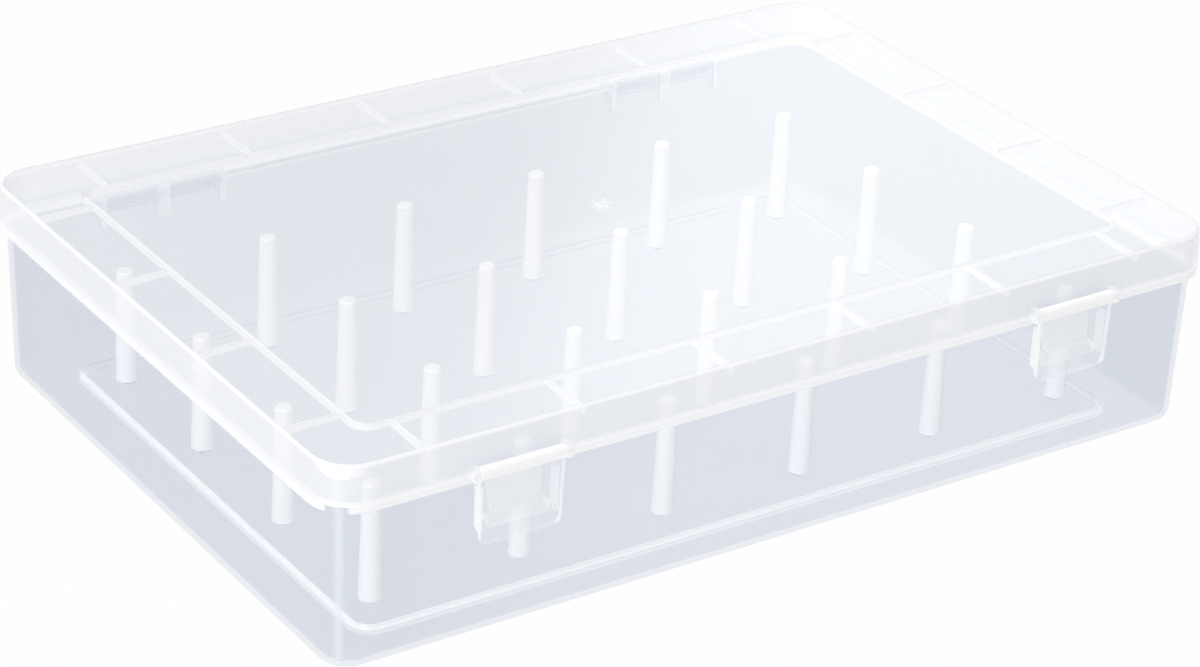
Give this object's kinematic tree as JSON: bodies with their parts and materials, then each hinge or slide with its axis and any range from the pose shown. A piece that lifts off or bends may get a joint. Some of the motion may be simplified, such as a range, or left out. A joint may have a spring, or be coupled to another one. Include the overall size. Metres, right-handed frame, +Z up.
{
  "type": "embroidery thread box",
  "caption": "Shallow clear rectangular thread box with a hinged lid, two swing latches and a grid of upright tapered spool pegs inside.",
  "frame": {"origin": "centre of the underside, on the table", "axes": "+X along the long side, +Y towards the hinged side, -Y towards the latches, +Z up"},
  "size_m": [0.3128, 0.2241, 0.0663],
  "materials": {
    "tray_shell": "clear, slightly milky",
    "lid_shell": "clear, slightly milky",
    "peg": "milky",
    "latch": "milky",
    "pin": "milky"
  },
  "bodies": {
    "tray": {"tray": "tray_shell", "hinge_rod_left": "pin", "hinge_rod_right": "pin", "peg_row1_column1": "peg", "peg_row1_column2": "peg", "peg_row1_column3": "peg", "peg_row1_column4": "peg", "peg_row1_column5": "peg", "peg_row1_column6": "peg", "peg_row2_column1": "peg", "peg_row2_column2": "peg", "peg_row2_column3": "peg", "peg_row2_column4": "peg", "peg_row2_column5": "peg", "peg_row2_column6": "peg", "peg_row3_column1": "peg", "peg_row3_column2": "peg", "peg_row3_column3": "peg", "peg_row3_column4": "peg", "peg_row3_column5": "peg", "peg_row3_column6": "peg", "peg_row4_column1": "peg", "peg_row4_column2": "peg", "peg_row4_column3": "peg", "peg_row4_column4": "peg", "peg_row4_column5": "peg", "peg_row4_column6": "peg"},
    "lid": {"lid": "lid_shell", "latch_pin_left": "pin", "latch_pin_right": "pin"},
    "latch_left": {"latch_left": "latch"},
    "latch_right": {"latch_right": "latch"}
  },
  "joints": [
    {"name": "lid_hinge", "type": "hinge", "parent": "tray", "child": "lid", "pos_m": [0, 0.1092, 0.0468], "axis": [-1, 0, 0], "range_deg": [0, 180]},
    {"name": "latch_left_hinge", "type": "hinge", "parent": "lid", "child": "latch_left", "pos_m": [-0.098, -0.1094, 0.0559], "axis": [-1, 0, 0], "range_deg": [0, 180]},
    {"name": "latch_right_hinge", "type": "hinge", "parent": "lid", "child": "latch_right", "pos_m": [0.098, -0.1094, 0.0559], "axis": [-1, 0, 0], "range_deg": [0, 180]}
  ]
}
